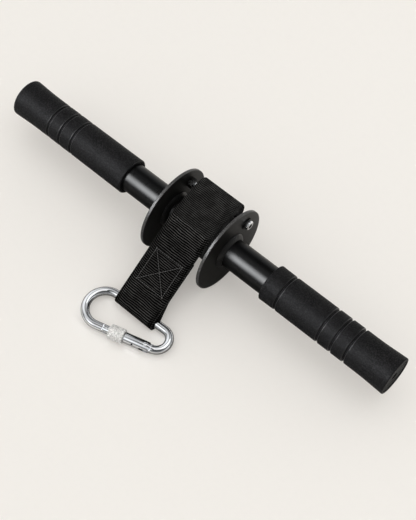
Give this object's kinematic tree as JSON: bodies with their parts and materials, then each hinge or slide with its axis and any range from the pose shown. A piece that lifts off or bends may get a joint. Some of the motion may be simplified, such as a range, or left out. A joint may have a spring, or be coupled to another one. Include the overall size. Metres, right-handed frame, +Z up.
{
  "type": "wrist roller",
  "caption": "Straight bar with a rubber grip at each end and a flanged spool between them, webbing wound on the spool and a screw-gate carabiner in the webbing's end loop.",
  "frame": {"origin": "middle of the bounding box in plan, on the surface that the roller lies on", "axes": "+X along the bar towards the grip with the extra groove, +Z up, the webbing leaves the spool towards -Y"},
  "size_m": [0.492, 0.1878, 0.094],
  "materials": {
    "bar_steel": "satin black coating",
    "plate_steel": "satin black coating",
    "grip_rubber": "matte moulded rubber",
    "webbing": "ribbed woven webbing",
    "black_hardware": "black oxide",
    "bright_steel": "bright plated steel",
    "sleeve_alloy": "matte plated, finely ribbed"
  },
  "bodies": {
    "roller": {"bar_tube": "bar_steel", "grip_right": "grip_rubber", "grip_left": "grip_rubber", "flange_right": "plate_steel", "flange_left": "plate_steel", "weld_right_outer": "plate_steel", "weld_right_inner": "plate_steel", "weld_left_inner": "plate_steel", "weld_left_outer": "plate_steel", "bolt_cross": "bright_steel", "bolt_washer_right": "black_hardware", "bolt_washer_left": "black_hardware", "bolt_nut": "bright_steel", "bolt_seat_nut": "black_hardware", "strap_winding": "webbing"},
    "strap": {"strap_run": "webbing"},
    "carabiner": {"carabiner_rod": "bright_steel", "gate_rivet": "bright_steel"},
    "gate": {"gate_tube": "bright_steel", "gate_latch_pin": "bright_steel", "gate_spring": "bright_steel", "gate_plunger": "bright_steel"},
    "sleeve": {"lock_sleeve": "sleeve_alloy"}
  },
  "joints": [
    {"name": "strap_lift", "type": "hinge", "parent": "roller", "child": "strap", "pos_m": [0, 0.03318, 0.06907], "axis": [-1, 0, 0], "range_deg": [0, 150]},
    {"name": "carabiner_swing", "type": "hinge", "parent": "strap", "child": "carabiner", "pos_m": [0.0048, -0.04803, 0.0078], "axis": [-0.9994, -0.0349, 0], "range_deg": [-165, 75]},
    {"name": "gate_open", "type": "hinge", "parent": "carabiner", "child": "gate", "pos_m": [0.0336, -0.07304, 0.0078], "axis": [0, 0, -1], "range_deg": [0, 25], "stiffness_Nm_per_rad": 0.2, "springref_deg": -11.46},
    {"name": "sleeve_lock", "type": "slide", "parent": "gate", "child": "sleeve", "axis": [-0.9619, -0.2734, 0], "range_m": [0, 0.0095]}
  ]
}
